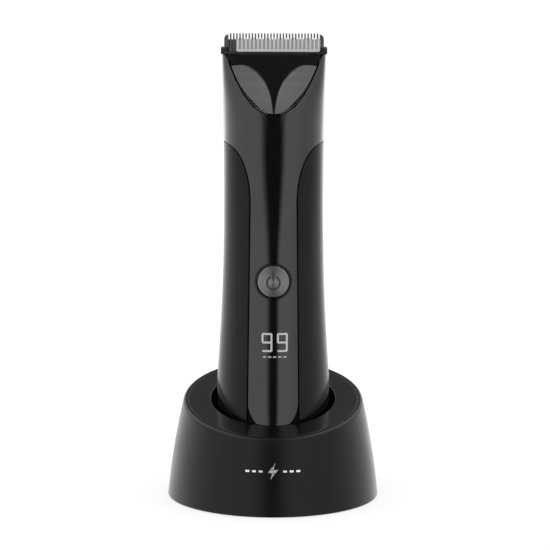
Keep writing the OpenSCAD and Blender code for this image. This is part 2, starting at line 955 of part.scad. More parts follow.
dock_shell();
dock_deck();
socket_cup();
dock_base_plate();
dock_weight();
dock_circuit_board();
usb_inlet();
charge_pin_left();
charge_pin_right();
pin_spring_left();
pin_spring_right();
pin_housing();
dock_feet();
dock_screws();
dock_emblem();
front_panel();
rear_shell();
left_grip();
right_grip();
bottom_cap();
charge_contacts();
inner_frame();
battery_cell();
battery_tabs();
main_circuit_board();
display_module();
display_digits();
battery_level_bars();
tactile_switch();
button_bezel();
motor_can();
motor_end_cap();
motor_mount();
neck_cap();
shaft_seal();
frame_screws();
motor_shaft();
eccentric_cam();
power_button();
button_icon();
head_front_cover();
head_rear_cover();
head_base();
blade_frame();
fixed_blade();
blade_screws();
blade_spring();
moving_blade();
cutter_follower();
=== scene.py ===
"""Looks of the body groomer in its charging dock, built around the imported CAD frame."""
import math
import bmesh
import bpy
import numpy as np
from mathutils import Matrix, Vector


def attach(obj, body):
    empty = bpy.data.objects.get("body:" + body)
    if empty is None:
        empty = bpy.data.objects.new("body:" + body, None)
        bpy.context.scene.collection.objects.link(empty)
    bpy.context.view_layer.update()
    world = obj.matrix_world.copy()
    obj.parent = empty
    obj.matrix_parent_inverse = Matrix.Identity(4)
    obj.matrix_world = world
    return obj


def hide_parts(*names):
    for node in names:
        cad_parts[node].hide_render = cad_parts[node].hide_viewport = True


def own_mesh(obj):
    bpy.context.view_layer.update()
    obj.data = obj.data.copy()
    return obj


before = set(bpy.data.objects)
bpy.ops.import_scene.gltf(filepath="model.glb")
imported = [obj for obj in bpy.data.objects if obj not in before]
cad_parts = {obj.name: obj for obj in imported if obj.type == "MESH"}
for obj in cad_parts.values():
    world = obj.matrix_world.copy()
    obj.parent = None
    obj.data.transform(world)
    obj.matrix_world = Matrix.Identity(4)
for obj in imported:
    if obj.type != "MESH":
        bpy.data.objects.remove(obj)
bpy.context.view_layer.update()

MM = 0.001

# ---------- sizes in millimetres, mostly those of the part's source ----------

DOCK_R, DOCK_TOP_R = 39.2, 33.4
DOCK_START = 0.095
DOCK_ARC_H = 36
DOCK_BEND = (DOCK_R - DOCK_TOP_R - DOCK_START * DOCK_ARC_H) / DOCK_ARC_H ** 2
DOCK_LOW_Z = 0.3
DOCK_WALL, DECK_T = 1.4, 2.0
DECK_Z = 37.2
DECK_SLOPE = math.tan(math.radians(14.1))
SOCKET_R, SOCKET_Y = 23.1, -1.2
INLET_W, INLET_H, INLET_Z = 9.0, 3.3, 9.5
CONTACT_X = 4
SEAM, WALL = 0.25, 1.6
BASE_Z, EQUATOR_Z, BOTTOM_RY, BOTTOM_POWER = 26.0, 44.0, 19.5, 4
TURN_Z, TURN_RY = 30.5, 5.0
WAIST_Z, WAIST_W, EQUATOR_W, HEAD_W = 111.0, 18.2, 20.85, 19.0
HEAD_Z = 165
FRONT_DEPTH, FRONT_BOW_Z, FRONT_BOW = 16.6, 125, 0.00069
FRONT_FLARE_Z, FRONT_FLARE = 60, 0.001
FRONT_LEAN_Z, FRONT_LEAN, FRONT_LEAN_POWER = 140, 0.1137, 1.4
REAR_DEPTH, REAR_BOW_Z, REAR_BOW = 16, 120, 0.0009
REAR_LEAN_Z, REAR_LEAN, REAR_LEAN_POWER = 145, 0.0895, 1.5
# Stretches over which the section grows squarer: start, length, growth of its exponent.
SQUARER = ((85, 50, 0.5), (143, 22, 2.5))
STRIP_HALF, STRIP_LOW_HALF, STRIP_TURN_Z, SHOULDER_Z = 8.56, 9.4, 112.0, 133.0
TONGUE_Z, TONGUE_H = 38.6, 9.8
CAP_Z, CAP_HIGH_Z = DECK_Z - SEAM, TONGUE_Z - 0.7
U_LOW_Z, U_HIGH_Z, U_HALF, U_POWER = 143.7, 172, 17.65, 2.35
HORN_Z, COVER_Z, FRAME_Z = 164.8, 164.75, 167.0
BAND_Z = 162.4
BUTTON_Z, BUTTON_R, FACE_Y = 83.1, 5.85, -17.5
BLADE_Y, BLADE_LEAN = -3.0, math.radians(15)
THROW = 1.5
PRONG_START, PRONG_END = 26.2, 28.0
PANEL_GAP, GRIP_GAP, U_GAP = 0.4, 0.5, 0.42


# ---------- the body's surface ----------

def ease(t):
    """Smooth step from 0 to 1."""
    u = np.clip(t, 0, 1)
    return u * u * (3 - 2 * u)


def dock_radius(z):
    """The dock's outer radius at a height: a shallow convex arc."""
    return DOCK_R - DOCK_START * z - DOCK_BEND * z * z


def end_round(z):
    """Share of the width that the rounded lower end leaves."""
    u = (EQUATOR_Z - np.minimum(z, EQUATOR_Z)) / BOTTOM_RY
    return np.clip(1 - u ** BOTTOM_POWER, 0, 1) ** (1 / BOTTOM_POWER)


def turn_under(z):
    """Share of the depth that is left where front and rear turn under."""
    return np.sqrt(np.clip(1 - ((TURN_Z - np.minimum(z, TURN_Z)) / TURN_RY) ** 2, 0, 1))


def half_width(z):
    """Half width of the body, least at the waist."""
    zz = np.maximum(z, EQUATOR_Z)
    up = (HEAD_W - WAIST_W) / (HEAD_Z - WAIST_Z) ** 2
    down = (EQUATOR_W - WAIST_W) / (EQUATOR_Z - WAIST_Z) ** 2
    return (WAIST_W + np.where(zz > WAIST_Z, up, down) * (zz - WAIST_Z) ** 2) * end_round(z)


def front_depth(z):
    """Depth in front of the axis: it bows gently, flares below and leans back over the head."""
    zz = np.maximum(z, TURN_Z)
    bow = FRONT_BOW * (zz - FRONT_BOW_Z) ** 2
    flare = FRONT_FLARE * np.maximum(FRONT_FLARE_Z - zz, 0) ** 2
    lean = FRONT_LEAN * np.maximum(zz - FRONT_LEAN_Z, 0) ** FRONT_LEAN_POWER
    return (FRONT_DEPTH + bow + flare - lean) * turn_under(z)


def rear_depth(z):
    """Depth behind the axis."""
    zz = np.maximum(z, EQUATOR_Z)
    bow = REAR_BOW * (zz - REAR_BOW_Z) ** 2
    lean = REAR_LEAN * np.maximum(zz - REAR_LEAN_Z, 0) ** REAR_LEAN_POWER
    return (REAR_DEPTH + bow - lean) * turn_under(z)


def squareness(z):
    """Exponent of the section: 2 is an ellipse, and SQUARER adds to it."""
    n = 2
    for start, length, growth in SQUARER:
        n = n + growth * ease((z - start) / length)
    return n


def skin(angle, z):
    """Points on the body: angle in degrees, 0 at the front, 90 at the right side."""
    angle, z = np.broadcast_arrays(np.asarray(angle, float), np.asarray(z, float))
    a = np.radians(angle)
    s, c = np.sin(a), np.cos(a)
    p = 2 / squareness(z)
    depth = np.where(c > 0, front_depth(z), rear_depth(z))
    x = half_width(z) * np.sign(s) * np.abs(s) ** p
    y = -depth * np.sign(c) * np.abs(c) ** p
    return np.stack([x, y, z], axis=-1)


def face_y(x, z):
    """Depth of the front skin at a place given by x and z."""
    n = squareness(z)
    return -front_depth(z) * (1 - np.clip(np.abs(x) / half_width(z), 0, 1) ** n) ** (1 / n)


def face_normal(x, z, step=0.05):
    """Outward normal of the front skin at a place given by x and z."""
    dx = (face_y(x + step, z) - face_y(x - step, z)) / (2 * step)
    dz = (face_y(x, z + step) - face_y(x, z - step)) / (2 * step)
    return unit(np.stack([dx, -np.ones_like(dx), dz], axis=-1))


def angle_at(x, z):
    """Angle at which the body's section is x wide."""
    return np.degrees(np.arcsin(np.clip((x / half_width(z)) ** (squareness(z) / 2), 0, 1)))


def strip_edge(z):
    """Half width of the central strip: round tongue, straight, then out through the shoulders."""
    z = float(z)
    if z < TONGUE_Z:
        return STRIP_LOW_HALF * math.sqrt(max(1 - ((TONGUE_Z - z) / TONGUE_H) ** 2, 0))
    if z < STRIP_TURN_Z:
        t = (z - TONGUE_Z) / (STRIP_TURN_Z - TONGUE_Z)
        return STRIP_LOW_HALF + (STRIP_HALF - STRIP_LOW_HALF) * t
    w = float(half_width(z))
    if z < SHOULDER_Z:
        t = (z - STRIP_TURN_Z) / (SHOULDER_Z - STRIP_TURN_Z)
        return w - (w - STRIP_HALF) * math.sqrt(max(1 - t * t, 0))
    return w


def grip_edge(z):
    """Half width of the gap between the grips: as the strip, but straight beside the tongue."""
    return STRIP_LOW_HALF if z < TONGUE_Z else strip_edge(z)


def u_seam(angle, gap=0.0):
    """Height of the head's U seam at an angle round the body, moved outward by a gap."""
    z = np.full(np.shape(angle), 152.0)
    s = np.abs(np.sin(np.radians(angle)))
    for _ in range(12):
        x = np.maximum(half_width(z) * s ** (2 / squareness(z)) + gap, 0)
        z = np.minimum(U_LOW_Z + gap + (HEAD_Z - U_LOW_Z) * (x / U_HALF) ** U_POWER, U_HIGH_Z)
    return z


def tongue_edge(angle):
    """Height of a tongue's lower edge at an angle round the rounded end."""
    z = np.full(np.shape(angle), 30.0)
    s = np.abs(np.sin(np.radians(angle)))
    for _ in range(6):
        x = np.minimum(half_width(z) * s, STRIP_LOW_HALF * 0.999)
        z = TONGUE_Z - TONGUE_H * np.sqrt(1 - (x / STRIP_LOW_HALF) ** 2)
    return z


def cap_line(angle):
    """Lower edge of the grips: level with the deck, then flat round the rear, so the dark cap below also
    gives painted shade inside the socket.
    """
    z = np.full(np.shape(angle), 34.0)
    for _ in range(8):
        z = np.minimum(CAP_Z + DECK_SLOPE * skin(angle, z)[..., 1], CAP_HIGH_Z)
    return z


def cap_top(angle):
    """Upper edge of the bottom cap, with a prong on each side of each tongue."""
    away = np.minimum(np.abs(angle), 180 - np.abs(angle))
    edge = tongue_edge(angle) - SEAM
    return np.where(away < PRONG_END - 0.1, edge, np.minimum(edge, cap_line(angle)))


def side_angle(z, depth):
    """Angle at which a panel stops just short of the body's side."""
    return np.degrees(np.arccos((0.5 * PANEL_GAP / depth) ** (squareness(z) / 2)))


# ---------- mesh builders ----------

def in_scene(name, data):
    """New object in the scene."""
    piece = bpy.data.objects.new(name, data)
    bpy.context.scene.collection.objects.link(piece)
    return piece


def final_mesh(piece):
    """Mesh of a curve, or of an object with its modifiers."""
    shape = piece.evaluated_get(bpy.context.evaluated_depsgraph_get())
    return bpy.data.meshes.new_from_object(shape)


def dress(mesh, material):
    """Gives a mesh one material in place of any it had."""
    mesh.materials.clear()
    mesh.materials.append(material)


def smooth(mesh):
    """Shades every face smooth."""
    mesh.polygons.foreach_set("use_smooth", [True] * len(mesh.polygons))


def new_object(name, points, faces, material, normals=None):
    """Smooth shaded mesh object from points in millimetres."""
    mesh = bpy.data.meshes.new(name)
    mesh.from_pydata((np.asarray(points) * MM).tolist(), [], faces)
    mesh.validate()
    mesh.update()
    smooth(mesh)
    if normals is not None:
        mesh.normals_split_custom_set_from_vertices(np.asarray(normals).tolist())
    mesh.materials.append(material)
    return in_scene(name, mesh)


def unit(v):
    """Vectors of length 1."""
    return v / np.maximum(np.linalg.norm(v, axis=-1, keepdims=True), 1e-12)


def grid_normals(points):
    """Outward normals of a grid of points."""
    return unit(np.cross(np.gradient(points, axis=1), np.gradient(points, axis=0)))


def skin_normals(points, step=0.02):
    """Outward normals of points that lie on the body's smooth surface."""
    x, y, z = points[..., 0], points[..., 1], points[..., 2]

    def section(zz):
        return squareness(zz), half_width(zz), np.where(y < 0, front_depth(zz), rear_depth(zz))

    def level(zz):
        n, w, depth = section(zz)
        return np.abs(x / w) ** n + np.abs(y / depth) ** n

    n, w, depth = section(z)
    gx = n / w * np.abs(x / w) ** (n - 1) * np.sign(x)
    gy = n / depth * np.abs(y / depth) ** (n - 1) * np.sign(y)
    gz = (level(z + step) - level(z - step)) / (2 * step)
    return unit(np.stack([gx, gy, gz], axis=-1))


def border_loops(rows, cols, wrap):
    """Border vertices of a grid in order, each with the step that leads inward."""
    if wrap:
        low = [(0, c, 1, 0) for c in range(cols)]
        high = [(rows - 1, c, -1, 0) for c in range(cols - 1, -1, -1)]
        return [low, high]
    low = [(0, c, 1, 0) for c in range(1, cols - 1)]
    right = [(r, cols - 1, 0, -1) for r in range(1, rows - 1)]
    high = [(rows - 1, c, -1, 0) for c in range(cols - 2, 0, -1)]
    left = [(r, 0, 0, 1) for r in range(rows - 2, 0, -1)]
    return [[(0, 0, 1, 1)] + low + [(0, cols - 1, 1, -1)] + right
            + [(rows - 1, cols - 1, -1, -1)] + high + [(rows - 1, 0, -1, 1)] + left]


def round_border(points, normals, loop, edge):
    """Where the outer face ends along a border, and the rings that round its edge."""
    cols = points.shape[1]
    base = np.array([points[r, c] for r, c, _, _ in loop])
    normal = np.array([normals[r, c] for r, c, _, _ in loop])
    inward = np.zeros_like(base)
    reach = np.full(len(loop), edge)
    for k, (r, c, dr, dc) in enumerate(loop):
        for step in [(dr, 0)] * (dr != 0) + [(0, dc)] * (dc != 0):
            side = points[r + step[0], (c + step[1]) % cols] - points[r, c]
            reach[k] = min(reach[k], 0.45 * np.linalg.norm(side))
            inward[k] += unit(side)
    inward = unit(inward - normal * np.sum(inward * normal, axis=1, keepdims=True))
    reach = reach[:, None]
    rings, ring_normals = [], []
    for turn in (25, 50, 75, 90):
        a = math.radians(turn)
        rings.append(base + inward * reach * (1 - math.sin(a)) - normal * reach * (1 - math.cos(a)))
        ring_normals.append(unit(normal * math.cos(a) - inward * math.sin(a)))
    return base + inward * reach, rings, ring_normals


def join_loops(loops, round_hole):
    """Faces from each loop of vertex numbers to the next, turned over in a hole."""
    faces = []
    for upper, lower in zip(loops[:-1], loops[1:]):
        for k in range(len(upper)):
            m = (k + 1) % len(upper)
            face = (upper[k], lower[k], lower[m], upper[m])
            if round_hole:
                face = (upper[k], upper[m], lower[m], lower[k])
            faces.append(tuple(int(v) for v in face))
    return faces


def shell(name, points, material, wall=WALL, edge=0.25, wrap=False, hole=None, on_skin=False):
    """Moulded wall: an outer grid with rounded borders, side walls and an inner face.

    A hole is the rows and columns that it takes out of the grid, the loop of grid places round them,
    and the rings of points and normals that lead from that loop down to the inner face.
    """
    rows, cols, _ = points.shape
    normals = skin_normals(points) if on_skin else grid_normals(points)
    surface = points.copy()
    inside = points - normals * wall
    rim_points, rim_normals, rim_faces = [], [], []
    inner = rows * cols

    def add_side(places, rings, ring_normals, round_hole=False):
        """Side wall from the outer face through the rings to the inner face."""
        ids = [np.array([r * cols + c for r, c in places])]
        for ring, ring_normal in zip(rings, ring_normals):
            ids.append(2 * inner + len(rim_points) + np.arange(len(places)))
            rim_points.extend(ring)
            rim_normals.extend(ring_normal)
        ids.append(ids[0] + inner)
        rim_faces.extend(join_loops(ids, round_hole))

    for loop in border_loops(rows, cols, wrap):
        places = [(r, c) for r, c, _, _ in loop]
        ends, rings, ring_normals = round_border(points, normals, loop, edge)
        for place, end in zip(places, ends):
            surface[place] = end
        add_side(places, rings, ring_normals)
    r0, r1, c0, c1 = hole[:4] if hole else (0, 0, 0, 0)
    if hole:
        add_side(*hole[4:], round_hole=True)
    all_points = np.concatenate([surface.reshape(-1, 3), inside.reshape(-1, 3), np.array(rim_points)])
    all_normals = np.concatenate([normals.reshape(-1, 3), -normals.reshape(-1, 3), np.array(rim_normals)])
    faces = []
    for r in range(rows - 1):
        for c in range(cols if wrap else cols - 1):
            if r0 <= r < r1 and c0 <= c < c1:
                continue
            d = (c + 1) % cols
            a, b, e, f = r * cols + c, r * cols + d, (r + 1) * cols + d, (r + 1) * cols + c
            faces.append((a, b, e, f))
            faces.append((inner + a, inner + f, inner + e, inner + b))
    return new_object(name, all_points, faces + rim_faces, material, all_normals)


def turned(name, profile, material, steps=128, sharp=35):
    """Piece turned about the button's axis: profile is its (radius, depth) points."""
    points, faces = [], []
    n = len(profile)
    for i in range(steps):
        a = 2 * math.pi * i / steps
        points += [(r * math.cos(a), y, BUTTON_Z + r * math.sin(a)) for r, y in profile]
    for i in range(steps):
        j = (i + 1) % steps
        faces += [(i * n + k + 1, j * n + k + 1, j * n + k, i * n + k) for k in range(n - 1)]
    piece = new_object(name, points, faces, material)
    weld(piece, sharp)
    return piece


def weld(piece, sharp):
    """Joins coincident vertices and marks the sharp edges."""
    bm = bmesh.new()
    bm.from_mesh(piece.data)
    bmesh.ops.remove_doubles(bm, verts=bm.verts, dist=1e-7)
    bmesh.ops.recalc_face_normals(bm, faces=bm.faces)
    bm.to_mesh(piece.data)
    bm.free()
    piece.data.set_sharp_from_angle(angle=math.radians(sharp))


def arc(cx, cy, r, a0, a1, n=6):
    """Points along an arc about (cx, cy), its angles in degrees."""
    turns = [math.radians(a0 + (a1 - a0) * i / n) for i in range(n + 1)]
    return [(cx + r * math.cos(a), cy + r * math.sin(a)) for a in turns]


def extrusion(outline, y0, y1):
    """Points and faces of an outline of (x, z) points carried from one depth to another."""
    n = len(outline)
    points = [(x, y, z) for y in (y0, y1) for x, z in outline]
    faces = [tuple(range(n)), tuple(range(2 * n - 1, n - 1, -1))]
    faces += [(i, i + n, (i + 1) % n + n, (i + 1) % n) for i in range(n)]
    return points, faces


def joined(parts):
    """The points and faces of several parts as one."""
    points, faces = [], []
    for part_points, part_faces in parts:
        faces += [tuple(v + len(points) for v in face) for face in part_faces]
        points += part_points
    return points, faces


def lean_back(points):
    """From the blades' own frame to the part's frame."""
    p = np.array(points, float)
    y = p[:, 1] * math.cos(BLADE_LEAN) + p[:, 2] * math.sin(BLADE_LEAN) + BLADE_Y
    z = -p[:, 1] * math.sin(BLADE_LEAN) + p[:, 2] * math.cos(BLADE_LEAN) + FRAME_Z
    return np.stack([p[:, 0], y, z], axis=1)


def blade_plate(name, outline, y0, y1, material, edge):
    """Plate with bevelled edges, drawn in the blades' own frame."""
    points, faces = extrusion(outline, y0, y1)
    piece = new_object(name, lean_back(points), faces, material)
    weld(piece, 35)
    bevel(piece, edge)
    return piece


def bevel(piece, width):
    """Rounds the sharper edges."""
    mod = piece.modifiers.new("Edges", "BEVEL")
    mod.width = width * MM
    mod.segments = 2
    mod.limit_method = "ANGLE"
    mod.angle_limit = math.radians(40)
    mod.harden_normals = True


# ---------- materials ----------

class Nodes:
    """Small helper to build a Principled material."""

    def __init__(self, name, color, roughness, metallic=0.0):
        self.mat = bpy.data.materials.new(name)
        self.mat.use_nodes = True
        self.tree = self.mat.node_tree
        self.shader = self.tree.nodes["Principled BSDF"]
        self.fix("Base Color", (*color, 1))
        self.fix("Roughness", roughness)
        self.fix("Metallic", metallic)
        self.coords = self.add("TexCoord")

    def add(self, kind, **values):
        node = self.tree.nodes.new("ShaderNode" + kind)
        for key, value in values.items():
            node.inputs[key].default_value = value
        return node

    def link(self, a, b):
        self.tree.links.new(a, b)

    def fix(self, socket, value):
        self.shader.inputs[socket].default_value = value

    def feed(self, socket, source):
        self.link(source, self.shader.inputs[socket])

    def noise(self, scale, detail=4.0, stretch=(1, 1, 1), rough=0.5):
        mapping = self.add("Mapping", Scale=stretch)
        self.link(self.coords.outputs["Object"], mapping.inputs["Vector"])
        node = self.add("TexNoise", Scale=scale, Detail=detail, Roughness=rough)
        self.link(mapping.outputs["Vector"], node.inputs["Vector"])
        return node.outputs["Fac"]

    def ramp(self, source, low, high, lo=0.35, hi=0.65):
        ends = {"From Min": lo, "From Max": hi, "To Min": low, "To Max": high}
        node = self.add("MapRange", **ends)
        self.link(source, node.inputs["Value"])
        return node.outputs["Result"]

    def mix(self, factor, color_a, color_b):
        node = self.add("Mix")
        node.data_type = "RGBA"
        node.inputs["A"].default_value = (*color_a, 1)
        node.inputs["B"].default_value = (*color_b, 1)
        self.link(factor, node.inputs["Factor"])
        return node.outputs["Result"]

    def tint(self, source, color, factor):
        """Base colour that drifts towards a lighter one."""
        lighter = tuple(min(c * factor, 1) for c in color)
        self.feed("Base Color", self.mix(self.ramp(source, 0, 1), color, lighter))

    def bump(self, height, strength, distance_mm):
        node = self.add("Bump", Strength=strength, Distance=distance_mm * MM)
        self.link(height, node.inputs["Height"])
        self.feed("Normal", node.outputs["Normal"])


def moulded(name, color, roughness, grain_scale, grain_mm, spread=0.05, specular=0.5, tint=1.35):
    """Moulded plastic: fine grain in the bump, slow drift in the roughness and colour."""
    n = Nodes(name, color, roughness)
    n.fix("Specular IOR Level", specular)
    n.feed("Roughness", n.ramp(n.noise(55, 3), roughness - spread, roughness + spread))
    n.tint(n.noise(140, 5), color, tint)
    n.bump(n.noise(grain_scale, 2), 0.6, grain_mm)
    return n.mat


def gloss_black(name, color=(0.0022, 0.0022, 0.0025), roughness=0.045, smudge=0.035, specular=0.5):
    """Piano black: nearly mirror smooth, with faint handling marks in the roughness."""
    n = Nodes(name, color, roughness)
    n.fix("Specular IOR Level", specular)
    marks = n.noise(38, 6, (1, 1, 0.55), 0.62)
    n.feed("Roughness", n.ramp(marks, roughness, roughness + smudge, 0.45, 0.72))
    n.tint(n.noise(220, 3), color, 1.4)
    n.bump(n.noise(26, 2), 0.25, 0.012)
    return n.mat


def metal(name, color, roughness, stretch, scale=900, depth=0.01, spread=0.08):
    """Ground or brushed metal: fine lines along one direction."""
    n = Nodes(name, color, roughness, 1.0)
    lines = n.noise(scale, 3, stretch)
    n.feed("Roughness", n.ramp(lines, roughness - spread, roughness + spread))
    n.tint(n.noise(90, 4), color, 1.12)
    n.bump(lines, 0.5, depth)
    return n.mat


def spun_metal(name, color, roughness, spread=0.07):
    """Disc turned on a lathe: fine rings about the button's centre."""
    n = Nodes(name, color, roughness, 1.0)
    n.fix("Anisotropic", 0.75)
    n.fix("Anisotropic Rotation", 0.25)
    tangent = n.add("Tangent")
    tangent.direction_type = "RADIAL"
    tangent.axis = "Y"
    n.feed("Tangent", tangent.outputs["Tangent"])
    centre = n.add("Mapping", Location=(0, 0, -BUTTON_Z * MM))
    n.link(n.coords.outputs["Object"], centre.inputs["Vector"])
    flat = n.add("VectorMath")
    flat.operation = "MULTIPLY"
    flat.inputs[1].default_value = (1, 0, 1)
    n.link(centre.outputs["Vector"], flat.inputs[0])
    radius = n.add("VectorMath")
    radius.operation = "LENGTH"
    n.link(flat.outputs["Vector"], radius.inputs[0])
    noise = n.add("TexNoise", Scale=9000, Detail=2.0)
    noise.noise_dimensions = "1D"
    n.link(radius.outputs["Value"], noise.inputs["W"])
    rings = noise.outputs["Fac"]
    n.feed("Roughness", n.ramp(rings, roughness - spread, roughness + spread))
    n.tint(rings, color, 1.25)
    n.bump(rings, 0.4, 0.01)
    return n.mat


def lit(name, color, strength):
    """Lit display segments: slightly uneven emission behind a smooth window."""
    n = Nodes(name, (0.27, 0.27, 0.265), 0.25)
    n.feed("Emission Color", n.mix(n.ramp(n.noise(420, 3), 0, 1), tuple(c * 0.9 for c in color), color))
    n.fix("Emission Strength", strength)
    n.feed("Roughness", n.ramp(n.noise(90, 2), 0.2, 0.3))
    return n.mat


# moulded: colour, roughness, grain's scale and depth in mm, spread of roughness, specular level, tint.
# gloss_black: colour, roughness, what smudges add, specular level.
# metal: colour, roughness, the lines' stretch, scale and depth in mm, spread of roughness.
MAT = {
    # partly painted shade: the bottom cap is a real black part, and its very dark matt black also stands
    # for the shade on the body inside the socket
    "cap": moulded("foot_black", (0.0012, 0.0012, 0.0013), 0.55, 1900, 0.01, 0.05, 0.04),
    "piano": gloss_black("piano_black", (0.0018, 0.0018, 0.002)),
    "petal": gloss_black("petal_black", (0.002, 0.002, 0.0022), 0.09, 0.04, 0.83),
    "band": moulded("head_band_black", (0.0022, 0.0022, 0.0024), 0.5, 1900, 0.01, 0.05, 0.05),
    "rear": gloss_black("rear_black", (0.003, 0.003, 0.0032), 0.12, 0.06),
    "grip": moulded("soft_touch_grip", (0.005, 0.005, 0.0052), 0.24, 2600, 0.012, 0.04, 0.115),
    "dock": moulded("dock_satin", (0.0003, 0.0003, 0.0004), 0.31, 2100, 0.01, 0.04, 0.185),
    "deck": moulded("deck_satin", (0.003, 0.003, 0.0032), 0.17, 1700, 0.004, 0.03, 0.3),
    "socket": moulded("socket_black", (0.01, 0.01, 0.01), 0.5, 1500, 0.01, 0.05, 0.2),
    "base": moulded("base_plastic", (0.006, 0.006, 0.006), 0.55, 1600, 0.02),
    "frame": moulded("frame_black", (0.004, 0.004, 0.0045), 0.35, 1900, 0.01, 0.05, 0.4),
    "rubber": moulded("foot_rubber", (0.008, 0.008, 0.008), 0.75, 1400, 0.03, 0.08, 0.3),
    "ceramic": moulded("ceramic", (0.47, 0.47, 0.465), 0.42, 1800, 0.006, 0.06, 0.5, 1.06),
    # painted shade: a darker ceramic on the moving blade's plate stands for the shade in the valleys
    # between the ribs
    "valley": moulded("ceramic_painted_valley_shade", (0.27, 0.27, 0.27), 0.5, 1800, 0.006, 0.06, 0.3, 1.1),
    "pale": moulded("pale_plastic", (0.55, 0.55, 0.52), 0.4, 1500, 0.01, 0.05, 0.5, 1.05),
    "cell": moulded("cell_wrap", (0.03, 0.1, 0.3), 0.3, 300, 0.03, 0.05, 0.5, 1.2),
    "board": moulded("board_green", (0.008, 0.06, 0.025), 0.35, 700, 0.02, 0.06, 0.5, 1.3),
    "icon": moulded("icon_ink", (0.006, 0.006, 0.006), 0.4, 1800, 0.004),
    "bezel": gloss_black("bezel_dark", (0.003, 0.003, 0.0032), 0.15, 0.05, 0.3),
    "display": gloss_black("display_black", (0.004, 0.004, 0.005), 0.1, 0.04),
    "blade": metal("blade_steel", (0.13, 0.132, 0.137), 0.3, (1, 1, 0.05), 1500, 0.0012, 0.04),
    "steel": metal("plain_steel", (0.5, 0.5, 0.52), 0.32, (0.1, 1, 1)),
    "inlet": metal("inlet_metal", (0.55, 0.56, 0.58), 0.25, (1, 0.1, 1)),
    "gold": metal("contact_gold", (0.75, 0.52, 0.2), 0.25, (1, 1, 0.2)),
    "shade": metal("blade_shade", (0.03, 0.03, 0.032), 0.42, (1, 1, 0.05), 1500, 0.0012, 0.04),
    "emblem": metal("emblem_silver", (0.55, 0.555, 0.57), 0.3, (1, 1, 1), 1200, 0.004),
    "button": spun_metal("button_metal", (0.165, 0.165, 0.17), 0.36),
    "light": lit("display_light", (0.92, 0.92, 0.9), 0.18),
    "faint": lit("display_faint", (0.9, 0.93, 1.0), 0.06),
}


# ---------- groomer body ----------

def shoulder_levels(last):
    """Heights through the shoulders, up to an angle of their quarter ellipse."""
    turns = np.radians(np.linspace(3, last, 30))
    return [STRIP_TURN_Z + (SHOULDER_Z - STRIP_TURN_Z) * math.sin(a) for a in turns]


def panel_points(middle, columns=44):
    """Grid of a full-length panel: tongue, strip, shoulders and the horns beside the head."""
    s = np.linspace(-1, 1, columns + 1)
    rows = []
    levels = [TONGUE_Z - TONGUE_H * math.sin(a) for a in np.radians(np.linspace(84, 0, 18))]
    levels += list(np.linspace(TONGUE_Z, STRIP_TURN_Z, 91)[1:])
    levels += shoulder_levels(87)
    for z in levels:
        edge = float(angle_at(max(strip_edge(z) - PANEL_GAP / 2, 0.02), z))
        rows.append(skin(middle + edge * s, z))
    depth = front_depth if middle == 0 else rear_depth
    horn_low = SHOULDER_Z + SEAM
    for t in np.linspace(0, 1, 35):
        side_z = horn_low + (HORN_Z - horn_low) * t
        angles = side_angle(side_z, depth(side_z)) * even_turns(s, side_z)
        top = np.minimum(HORN_Z, u_seam(angles, -0.07))
        rows.append(skin(middle + angles, horn_low + (top - horn_low) * t))
    return np.array(rows)


def even_turns(s, z):
    """Crowds the angles towards the sides, where a squarer section has its corners."""
    k = float(squareness(z)) / 2 - 1
    return np.sign(s) * (1 - (1 - np.abs(s)) ** (1 + 0.9 * k))


def build_rear_shell():
    """The rear strip and shoulders, one panel from foot to horns."""
    piece = shell("rear_shell_skin", panel_points(180), MAT["rear"], on_skin=True)
    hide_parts("rear_shell")
    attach(piece, "groomer")


def build_grip(node, middle):
    """Soft side panel from the deck's plane to the shoulders, about a middle angle."""
    s = np.linspace(0, 1, 49)
    low_corners = (25.0, 155.0)
    rows = []

    def edge_at(z):
        return float(angle_at(grip_edge(z) + GRIP_GAP / 2, z))

    for t in np.linspace(0, 1, 17)[:-1]:
        front_z, rear_z = (float(cap_line(a)) * (1 - t) + EQUATOR_Z * t for a in low_corners)
        front, rear = edge_at(front_z), 180 - edge_at(rear_z)
        a = front + (rear - front) * s
        z = (cap_line(a) + 0.1) * (1 - t) + EQUATOR_Z * t
        rows.append((a, z))
    levels = list(np.linspace(EQUATOR_Z, STRIP_TURN_Z, 70)) + shoulder_levels(80)
    rows += [(edge_at(z) + (180 - 2 * edge_at(z)) * s, np.full(s.shape, z)) for z in levels]
    side = np.sign(middle)
    points = np.array([skin(side * a[::side], z[::side]) for a, z in rows])
    piece = shell(node + "_skin", points, MAT["grip"], edge=0.4, on_skin=True)
    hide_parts(node)
    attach(piece, "groomer")


def cap_angles():
    """Angles round the bottom cap, closest at the prongs."""
    near, far = np.linspace(0, 24, 17), np.linspace(PRONG_END, 90, 42)
    quarter = np.concatenate([near, [24.8, 25.5, PRONG_START], far])
    half = np.concatenate([quarter, 180 - quarter[-2::-1]])
    return np.concatenate([-half[:0:-1], half[:-1]])


def build_bottom_cap():
    """Wall of the moulded cap under the grips."""
    angles = cap_angles()
    top = cap_top(angles) - 0.1
    rows = [skin(angles, BASE_Z + (top - BASE_Z) * t) for t in np.linspace(0, 1, 16) ** 1.5]
    # the cap is a real part; with its top edge along the deck's plane, its dark matt black also serves as
    # painted shade inside the socket
    cap = shell("bottom_cap_skin", np.array(rows), MAT["cap"], wall=1.2, edge=0.12,
                wrap=True, on_skin=True)
    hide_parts("bottom_cap")
    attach(cap, "groomer")


